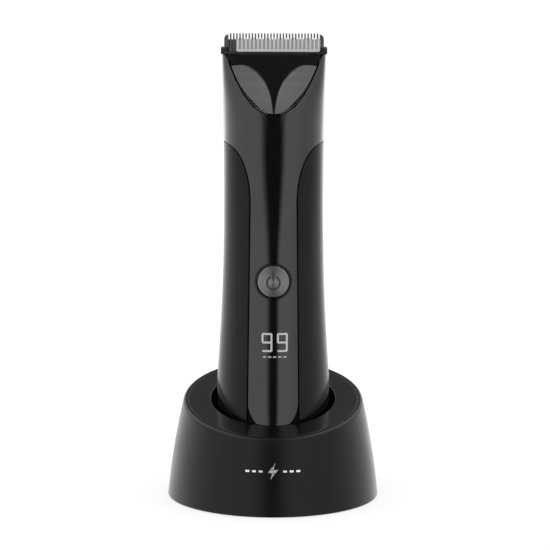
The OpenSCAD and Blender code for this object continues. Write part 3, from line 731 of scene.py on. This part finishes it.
def build_cap_floor():
    """Floor of the bottom cap, with the two openings over the contacts."""
    half_t, middle_z, share, hole_r = 0.7, BASE_Z + 0.75, 0.985, 1.5
    curve = bpy.data.curves.new("bottom_cap_outline", "CURVE")
    curve.dimensions = "2D"
    curve.fill_mode = "BOTH"
    curve.extrude = half_t * MM
    loops = [[(x * share, y * share) for x, y, _ in skin(cap_angles()[::2], BASE_Z)]]
    loops += [arc(x, 0, hole_r, 0, 360, 32)[:-1] for x in (-CONTACT_X, CONTACT_X)]
    for loop in loops:
        spline = curve.splines.new("POLY")
        spline.points.add(len(loop) - 1)
        spline.use_cyclic_u = True
        for point, (x, y) in zip(spline.points, loop):
            point.co = (x * MM, y * MM, 0, 1)
    temp = in_scene("bottom_cap_outline", curve)
    bpy.context.view_layer.update()
    mesh = final_mesh(temp)
    bpy.data.objects.remove(temp)
    for vertex in mesh.vertices:
        vertex.co.z += middle_z * MM
    dress(mesh, MAT["cap"])
    floor = in_scene("bottom_cap_floor", mesh)
    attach(floor, "groomer")


def build_front_panel():
    """The front strip and shoulders, with the round opening for the button."""
    points = panel_points(0)
    cols = points.shape[1]
    reach, edge = 7.6, 0.22
    rim_r = BUTTON_R + 0.75 + edge
    z_mid = points[:, cols // 2, 2]
    r0 = int(np.argmin(np.abs(z_mid - (BUTTON_Z - reach))))
    r1 = int(np.argmin(np.abs(z_mid - (BUTTON_Z + reach))))
    c0 = int(np.argmin(np.abs(points[(r0 + r1) // 2, :, 0] + reach)))
    c1 = cols - 1 - c0
    # A loop of grid places round the opening, then rings from there to its rim and down the wall.
    loop = [(r0, c) for c in range(c0, c1)] + [(r, c1) for r in range(r0, r1)]
    loop += [(r1, c) for c in range(c1, c0, -1)] + [(r, c0) for r in range(r1, r0, -1)]
    start = np.array([points[r, c] for r, c in loop])
    way = unit(np.stack([start[:, 0], start[:, 2] - BUTTON_Z], axis=1))
    rim_x, rim_z = way[:, 0] * rim_r, BUTTON_Z + way[:, 1] * rim_r
    rings, ring_normals = [], []
    for t in (0.2, 0.45, 0.7, 0.9, 1.0):
        x = start[:, 0] * (1 - t) + rim_x * t
        z = start[:, 2] * (1 - t) + rim_z * t
        rings.append(np.stack([x, face_y(x, z), z], axis=1))
        ring_normals.append(face_normal(x, z))
    rim, normal = rings[-1], ring_normals[-1]
    inward = np.stack([-way[:, 0], np.zeros(len(way)), -way[:, 1]], axis=1)
    for turn in (30, 60, 90):
        a = math.radians(turn)
        rings.append(rim + inward * edge * math.sin(a) - normal * edge * (1 - math.cos(a)))
        ring_normals.append(unit(normal * math.cos(a) + inward * math.sin(a)))
    rings.append(rings[-1] + np.array([0, WALL - edge, 0]))
    ring_normals.append(inward)
    hole = (r0, r1, c0, c1, loop, rings, ring_normals)
    piece = shell("front_panel_skin", points, MAT["piano"], hole=hole, on_skin=True)
    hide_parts("front_panel")
    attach(piece, "groomer")


def cover_points(middle, columns, levels):
    """Grid of a head cover, from the U seam up and as wide as the seam is near its top."""
    wide_z = COVER_Z - 1.1
    x = U_HALF * ((wide_z - U_LOW_Z) / (HEAD_Z - U_LOW_Z)) ** (1 / U_POWER) - SEAM
    angles = middle + float(angle_at(x, wide_z)) * np.linspace(-1, 1, columns + 1)
    low = u_seam(angles, U_GAP)
    return np.array([skin(angles, low + (COVER_Z - low) * t) for t in np.linspace(0, 1, levels)])


def petal_edge(z):
    """Half width of the dark centre facet between the two petals of the head."""
    return np.interp(z, [143.0, 144.3, 147.5, 152.2, 155.9, 158.8, 160.8, 162.2],
                     [0.1, 0.2, 0.5, 1.2, 2.4, 4.1, 6.4, 9.3])


def carve_petals(points):
    """Hollows the two petals, and says which points lie on their outer slopes."""
    x, z = np.abs(points[..., 0]), points[..., 2]
    x_seam = U_HALF * np.clip((z - U_GAP - U_LOW_Z) / (HEAD_Z - U_LOW_Z), 0, 1) ** (1 / U_POWER)
    slope = np.interp(z, [144, 150, 156, 159, 161, BAND_Z], [0.26, 0.24, 0.2, 0.185, 0.17, 0.16])
    soft = np.interp(z, [144, 150, 155, 158, 161], [0.3, 0.8, 2.2, 4.2, 6.0])
    away = np.maximum(x - petal_edge(z), 0)
    u = np.minimum(away / soft, 1)
    leaf = -front_depth(z) + slope * (soft * (u ** 3 - 0.5 * u ** 4) + np.maximum(away - soft, 0))
    rise = np.interp(z, [144, 149, 153, 158], [0.5, 0.75, 2.0, 4.0])
    rim_flat, fade_below, fade = 0.15, 0.6, 0.8
    rim = face_y(x_seam, z) + rise * np.maximum(x_seam - x - rim_flat, 0)
    carved = np.maximum(points[..., 1], np.minimum(leaf, rim))
    band = ease((z - BAND_Z + fade_below) / fade)
    points[..., 1] = carved * (1 - band) + points[..., 1] * band
    return (rim < leaf) & (z < BAND_Z)


def matt_from(x):
    """Height from which the head's front is matt, a little lower at the sides."""
    drop, side_drop, side_x, side_run = 1.1, 0.4, 12, 4
    return BAND_Z - drop - side_drop * ease((abs(x) - side_x) / side_run)


def build_head_cover():
    """Front of the head: two hollowed petals about a flat V, under a level matt band."""
    points = cover_points(0, 170, 90)
    on_slope = carve_petals(points)
    piece = shell("head_front_cover_skin", points, MAT["petal"], wall=0.9, edge=0.15)
    piece.data.materials.append(MAT["band"])
    for face in piece.data.polygons:
        x, _, z = face.center / MM
        front = [v for v in face.vertices if v < on_slope.size]
        on_rim = len(front) == 4 and np.count_nonzero(on_slope.flat[front]) >= 3
        if on_rim or z > matt_from(x):
            face.material_index = 1
    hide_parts("head_front_cover")
    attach(piece, "head")


def build_rear_cover():
    """Plain rear of the head."""
    piece = shell("head_rear_cover_skin", cover_points(180, 80, 40), MAT["rear"], wall=1.2)
    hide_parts("head_rear_cover")
    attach(piece, "head")


# ---------- dock ----------

def deck_plane(y):
    """Height of the slanted deck at a depth."""
    return DECK_Z + DECK_SLOPE * y


def dock_top(angle, inset=0.0):
    """Radius and height where the dock's wall, moved in by inset, meets the slanted deck."""
    z = DECK_Z
    for _ in range(12):
        z = deck_plane(-(dock_radius(z) - inset) * np.cos(angle))
    return dock_radius(z) - inset, z


def corner(a, b, c, size, n=6):
    """Rounded corner at b between the lines from a and to c."""
    ab, bc = unit(np.subtract(b, a)), unit(np.subtract(c, b))
    p0, p2 = np.subtract(b, ab * size), np.add(b, bc * size)
    w = math.sqrt(max(0.5 * (1 + float(np.dot(ab, bc))), 0.05))
    out = []
    for i in range(n + 1):
        t = i / n
        k0, k1, k2 = (1 - t) ** 2, 2 * t * (1 - t) * w, t * t
        out.append((p0 * k0 + np.array(b) * k1 + p2 * k2) / (k0 + k1 + k2))
    return out


def ring_sweep(name, profile_of, material, steps=240, sharp=50):
    """Closed ring: profile_of(angle) gives the closed section's (radius, height) points."""
    points, faces, n = [], [], 0
    for i in range(steps):
        a = 2 * math.pi * i / steps
        section = profile_of(a)
        n = len(section)
        points += [(r * math.sin(a), -r * math.cos(a), z) for r, z in section]
    for i in range(steps):
        j = (i + 1) % steps
        for k in range(n):
            m = (k + 1) % n
            faces.append((i * n + k, j * n + k, j * n + m, i * n + m))
    piece = new_object(name, points, faces, material)
    weld(piece, sharp)
    return piece


def build_dock_shell():
    """The dock's outer wall, its top cut by the deck's plane."""
    fillet, lip_edge, foot_edge = 0.8, 0.04, 0.35

    def section(a):
        # The outer ends of a corner's lines only say which way they run.
        r_top, z_top = dock_top(a)
        r_in, z_in = dock_top(a, DOCK_WALL)
        low_r, low_z = dock_radius(DOCK_LOW_Z), DOCK_LOW_Z
        outer = np.linspace(low_z + foot_edge, z_top - fillet * 1.05, 30)[1:]
        inner = np.linspace(z_in - 1, low_z, 12)
        out = corner((low_r - 2, low_z), (low_r, low_z), (low_r, low_z + 3), foot_edge)
        out += [np.array((dock_radius(z), z)) for z in outer]
        out += corner(out[-1], (r_top, z_top), (r_in, z_in), fillet)
        out += corner((r_top, z_top), (r_in, z_in), (r_in, z_in - 3), lip_edge, 3)
        out += [np.array((dock_radius(z) - DOCK_WALL, z)) for z in inner]
        return out

    piece = ring_sweep("dock_shell_skin", section, MAT["dock"])
    open_inlet(piece)
    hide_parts("dock_shell")
    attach(piece, "dock")


def open_inlet(piece):
    """Cuts the opening at the back, a little wider than the inlet."""
    gap, corner_r, start_y, end_y, sharp = 0.2, 1.6, 30, 45, 50
    half_w, half_h = INLET_W / 2 + gap, INLET_H / 2 + gap
    outline = []
    for sx, sz, a in ((1, 1, 0), (-1, 1, 90), (-1, -1, 180), (1, -1, 270)):
        outline += arc(sx * (half_w - corner_r), INLET_Z + sz * (half_h - corner_r), corner_r, a, a + 90)
    cutter = new_object("inlet_cutter", *extrusion(outline, start_y, end_y), MAT["dock"])
    weld(cutter, sharp)
    opening = piece.modifiers.new("Opening", "BOOLEAN")
    opening.operation = "DIFFERENCE"
    opening.solver = "EXACT"
    opening.object = cutter
    piece.data = final_mesh(piece)
    piece.modifiers.clear()
    piece.data.set_sharp_from_angle(angle=math.radians(sharp))
    bpy.data.objects.remove(cutter)


def build_dock_deck():
    """The slanted deck, with the socket's round hole."""
    hole_edge, rim_edge, inset = 0.2, 0.04, DOCK_WALL + 0.12

    def section(a):
        c = math.cos(a)
        r_out = dock_top(a, inset)[0]
        r_hole = -SOCKET_Y * c + math.sqrt(SOCKET_R ** 2 - (SOCKET_Y * math.sin(a)) ** 2)

        def at(r, below=0.0):
            return np.array((r, deck_plane(-r * c) - below))

        out = corner(at(r_out, DECK_T), at(r_out), at(r_hole), rim_edge, 3)
        out += [at(r) for r in np.linspace(r_out - 1, r_hole + hole_edge + 0.5, 10)]
        out += corner(at(r_out), at(r_hole), at(r_hole, DECK_T), hole_edge, 8)
        return out + [at(r_hole, DECK_T), at(r_out, DECK_T)]

    piece = ring_sweep("dock_deck_skin", section, MAT["deck"])
    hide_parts("dock_deck")
    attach(piece, "dock")


# ---------- button, blades and small parts ----------

def build_button():
    """Metal disc with a faint dish and a rounded edge, on its plunger."""
    back, plunger_r, plunger_y, axis_r = FACE_Y + 2, 1.2, -13.5, 0.02
    edge_r, dish = 0.3, 0.05
    flat = BUTTON_R - edge_r
    profile = [(r, FACE_Y + dish * (1 - (r / flat) ** 2)) for r in (axis_r, 1, 2, 3, 4, 5)]
    for turn in (0, 22, 45, 68, 90):
        a = math.radians(turn)
        profile.append((flat + edge_r * math.sin(a), FACE_Y + edge_r - edge_r * math.cos(a)))
    profile += [(BUTTON_R, back), (plunger_r, back), (plunger_r, plunger_y), (axis_r, plunger_y)]
    piece = turned("power_button_skin", profile, MAT["button"])
    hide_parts("power_button")
    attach(piece, "power_button")


def build_bezel():
    """Thin raised ring round the button."""
    r0, r1, y0, y1 = BUTTON_R + 0.35, BUTTON_R + 0.7, FACE_Y - 0.33, FACE_Y + 3.2
    crown = arc((r0 + r1) / 2, y0 + (r1 - r0) / 2, (r1 - r0) / 2, 0, -180, 8)
    profile = [(r1, y1)] + crown + [(r0, y1), (r1, y1)]
    piece = turned("button_bezel_skin", profile, MAT["bezel"])
    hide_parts("button_bezel")
    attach(piece, "groomer")


def rib(x, low, high, front, back, n=12):
    """One rib of the moving blade: crowned in front, narrowing to a rounded tip."""
    half, taper, foot_h, foot_share, tip_h = 0.45, 0.16, 0.25, 0.55, 0.5
    tip_narrow, tip_thin, crown = 0.85, 0.35, 0.6
    points, faces = [], []
    levels = [low, low + foot_h] + list(np.linspace(low + 0.9, high - tip_h, 4))
    levels += [high - tip_h * (1 - math.sin(math.radians(a))) for a in (20, 40, 60, 75, 90)]
    for z in levels:
        tip = max(z - (high - tip_h), 0) / tip_h
        narrow = half * (1 - taper * (z - low) / (high - low))
        narrow *= math.sqrt(max(1 - tip_narrow * tip * tip, 0.05))
        depth = (back - front) * min(foot_share + (1 - foot_share) * (z - low) / foot_h, 1)
        depth *= 1 - tip_thin * tip * tip
        for k in range(n + 1):
            a = math.pi * k / n
            wide = math.copysign(abs(math.cos(a)) ** crown, math.cos(a))
            points.append((x - narrow * wide, back - depth * math.sin(a) ** crown, z))
    m = n + 1
    top = (len(levels) - 1) * m
    for row in range(0, top, m):
        faces += [(k, k + 1, k + 1 + m, k + m) for k in range(row, row + n)]
        faces.append((row + n, row, row + m, row + m + n))
    faces.append(tuple(range(n, -1, -1)))
    faces.append(tuple(range(top, top + m)))
    return points, faces


def build_moving_blade():
    """Pale ceramic blade: a plate, a band along its foot and a row of ribs."""
    width, teeth, low, high, corner_r = 30.8, 21, -1.7, 3.7, 1.0
    plate_top, band_top, rib_low = 3.0, -0.55, -0.7
    front, plate_front, band_back, back = -1.18, -0.7, -0.5, -0.02
    half, pitch = width / 2, width / teeth

    def plate_up_to(name, top, y0, y1, material, edge):
        outline = arc(-half + corner_r, low + corner_r, corner_r, 180, 270)
        outline += arc(half - corner_r, low + corner_r, corner_r, 270, 360) + [(half, top), (-half, top)]
        return blade_plate(name, [(x + THROW, z) for x, z in outline], y0, y1, material, edge)

    # the plate behind the ribs is in the darker ceramic, as painted shade in the valleys between them
    plate = plate_up_to("moving_blade_plate", plate_top, plate_front, back, MAT["valley"], 0.12)
    bar = plate_up_to("moving_blade_band", band_top, front, band_back, MAT["ceramic"], 0.18)
    places = [(i - (teeth - 1) / 2) * pitch + THROW for i in range(teeth)]
    points, faces = joined(rib(x, rib_low, high, front, back) for x in places)
    ribs = new_object("moving_blade_ribs", lean_back(points), faces, MAT["ceramic"])
    weld(ribs, 50)
    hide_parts("moving_blade")
    for piece in (plate, bar, ribs):
        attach(piece, "cutter")


def build_fixed_blade():
    """Steel comb: a thin plate, a row of tapering teeth and a block at each end."""
    half, foot_half, low, step_z, root, tip = 18.2, 16.9, -1.6, 0.35, 3.3, 5.5
    pitch, slots, half_slot, narrow, taper_h = 1.13, 30, 0.225, 0.06, 0.2
    front, plate_front, back = 0.06, 0.32, 0.74
    end_r, end_drop = 2.2, 0.35
    last = (slots - 1) / 2 * pitch + half_slot
    right = [(foot_half, low), (foot_half, step_z), (half, step_z), (half, root), (last, root)]
    outline = [(-x, z) for x, z in right[::-1]] + right
    plate = blade_plate("fixed_blade_plate", outline, plate_front, back, MAT["shade"], 0.06)
    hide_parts("fixed_blade")
    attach(plate, "head")

    def tooth(x0, x1):
        side = [(x1, low), (x1 - narrow, tip - taper_h), (x1 - 2 * narrow, tip)]
        other = [(x0 + 2 * narrow, tip), (x0 + narrow, tip - taper_h)]
        return extrusion([(x0, low)] + side + other, front, back)

    middles = [(i - (slots - 2) / 2) * pitch for i in range(slots - 1)]
    points, faces = joined(tooth(x - pitch / 2 + half_slot, x + pitch / 2 - half_slot) for x in middles)
    teeth = new_object("fixed_blade_teeth", lean_back(points), faces, MAT["blade"])
    weld(teeth, 35)
    bevel(teeth, 0.07)
    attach(teeth, "head")
    for side, word in ((-1, "left"), (1, "right")):
        end = [(last, step_z), (half, step_z)]
        end += arc(half - end_r, tip - end_r, end_r, 0, 45, 9) + [(last, tip - end_drop)]
        outline = [(side * x, z) for x, z in end]
        block = blade_plate("fixed_blade_end_" + word, outline, front, back, MAT["blade"], 0.1)
        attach(block, "head")


def copy_of(node, name, material):
    """Copy of a CAD node in one material."""
    piece = in_scene(name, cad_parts[node].data.copy())
    dress(piece.data, material)
    return piece


def build_blade_frame():
    """The blades' frame as in the CAD, with fine rounded edges."""
    piece = copy_of("blade_frame", "blade_frame_edged", MAT["frame"])
    bm = bmesh.new()
    bm.from_mesh(piece.data)
    bmesh.ops.remove_doubles(bm, verts=bm.verts, dist=1e-6)
    bmesh.ops.dissolve_limit(bm, angle_limit=math.radians(1), verts=bm.verts, edges=bm.edges)
    bm.to_mesh(piece.data)
    bm.free()
    smooth(piece.data)
    piece.data.set_sharp_from_angle(angle=math.radians(35))
    bevel(piece, 0.25)
    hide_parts("blade_frame")
    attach(piece, "head")


def build_pin_spring(side):
    """Coil under a charging pin."""
    node, joint = "pin_spring_" + side, "charge_pin_" + side + "_press"
    piece = copy_of(node, node + "_coil", MAT["steel"])
    weld(piece, 50)
    smooth(piece.data)
    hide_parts(node)
    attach(piece, "dock")
    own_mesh(piece)


# ---------- materials of the CAD nodes that stay ----------

KEPT = {
    "socket": ["socket_cup"],
    "base": ["dock_base_plate", "pin_housing", "neck_cap", "motor_end_cap", "motor_mount", "inner_frame"],
    "steel": ["dock_weight", "dock_screws", "motor_can", "motor_shaft",
              "frame_screws", "blade_screws", "blade_spring", "battery_tabs"],
    "board": ["dock_circuit_board", "main_circuit_board"],
    "inlet": ["usb_inlet"],
    "gold": ["charge_pin_left", "charge_pin_right", "charge_contacts"],
    "rubber": ["dock_feet", "shaft_seal"],
    "emblem": ["dock_emblem"],
    "cell": ["battery_cell"],
    "display": ["display_module"],
    "light": ["display_digits"],
    "faint": ["battery_level_bars"],
    "frame": ["tactile_switch", "head_base"],
    "icon": ["button_icon"],
    "pale": ["eccentric_cam", "cutter_follower"],
}


def dress_kept():
    """Gives the CAD nodes that stay their materials."""
    for key, names in KEPT.items():
        for name in names:
            dress(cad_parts[name].data, MAT[key])


# ---------- studio ----------

def build_camera():
    """Looks slightly down on the object from the front, as a product picture does."""
    tilt, roll = 9.04, 0.16
    data = bpy.data.cameras.new("camera")
    data.sensor_width = 36
    data.lens = 179.0
    data.clip_end = 50
    camera = in_scene("camera", data)
    camera.location = Vector((0.58, -1000, 241.9)) * MM
    camera.rotation_euler = (math.radians(90 - tilt), 0, 0)
    camera.rotation_euler.rotate_axis("Z", math.radians(roll))
    bpy.context.scene.camera = camera


def build_world():
    """Pale studio: white to the eye and to matt surfaces; gloss sees soft panels at the two sides."""
    left_strength, right_strength, matt_light, seen_light = 1.57, 1.62, 1.12, 1.0
    world = bpy.data.worlds.new("studio")
    bpy.context.scene.world = world
    world.use_nodes = True
    tree = world.node_tree
    tree.nodes.clear()
    link = tree.links.new

    def add(kind):
        return tree.nodes.new("ShaderNode" + kind)

    out = add("OutputWorld")
    coords = add("TexCoord")
    parts = add("SeparateXYZ")
    link(coords.outputs["Generated"], parts.inputs[0])

    def feed(value, socket):
        if isinstance(value, (int, float)):
            socket.default_value = value
        else:
            link(value, socket)

    def math_node(operation, a, b):
        node = add("Math")
        node.operation = operation
        feed(a, node.inputs[0])
        feed(b, node.inputs[1])
        return node.outputs[0]

    def fade(value, *ends):
        """Smooth change of a value: its range from and to, then the results there."""
        node = add("MapRange")
        node.interpolation_type = "SMOOTHSTEP"
        for key, end in zip(("From Min", "From Max", "To Min", "To Max"), ends):
            node.inputs[key].default_value = end
        link(value, node.inputs["Value"])
        return node.outputs["Result"]

    x, y, z = parts.outputs
    right = fade(x, 0.08, 0.26, 0, right_strength)
    right = math_node("MULTIPLY", right, fade(x, 0.45, 0.85, 1, 0.8))
    left = fade(math_node("MULTIPLY", x, -1), 0.07, 0.31, 0, left_strength)
    high = fade(z, 0.3, 0.85, 1, 1.9)
    back = fade(y, -0.2, 0.4, 0.06, 0.3)
    gloss = math_node("ADD", math_node("MULTIPLY", math_node("ADD", left, right), high), back)

    def background(strength):
        node = add("Background")
        node.inputs["Color"].default_value = (1, 1, 1, 1)
        feed(strength, node.inputs["Strength"])
        return node.outputs[0]

    path = add("LightPath")
    first = add("MixShader")
    second = add("MixShader")
    link(path.outputs["Is Glossy Ray"], first.inputs[0])
    link(background(matt_light), first.inputs[1])
    link(background(gloss), first.inputs[2])
    link(path.outputs["Is Camera Ray"], second.inputs[0])
    link(first.outputs[0], second.inputs[1])
    link(background(seen_light), second.inputs[2])
    link(second.outputs[0], out.inputs["Surface"])


def build_floor():
    """Round sheet of pale paper, far wider than the view."""
    radius, steps = 9.0, 96
    n = Nodes("floor_paper", (0.9, 0.9, 0.9), 0.95)
    n.fix("Specular IOR Level", 0.0)
    n.fix("Emission Color", (1, 1, 1, 1))
    n.fix("Emission Strength", 0.72)
    n.feed("Base Color", n.mix(n.ramp(n.noise(3, 2), 0, 1), (0.3, 0.3, 0.3), (0.31, 0.31, 0.31)))
    mesh = bpy.data.meshes.new("studio_floor")
    turns = [2 * math.pi * i / steps for i in range(steps)]
    ring = [(radius * math.cos(a), radius * math.sin(a), 0) for a in turns]
    mesh.from_pydata(ring, [], [tuple(range(steps))])
    mesh.materials.append(n.mat)
    floor = in_scene("studio_floor", mesh)
    floor.visible_glossy = False


build_camera()
build_world()
build_floor()
build_front_panel()
build_rear_shell()
build_grip("left_grip", -90)
build_grip("right_grip", 90)
build_bottom_cap()
build_cap_floor()
build_head_cover()
build_rear_cover()
build_dock_shell()
build_dock_deck()
build_button()
build_bezel()
build_moving_blade()
build_fixed_blade()
build_blade_frame()
build_pin_spring("left")
build_pin_spring("right")
dress_kept()
bpy.context.scene.view_settings.view_transform = "Standard"
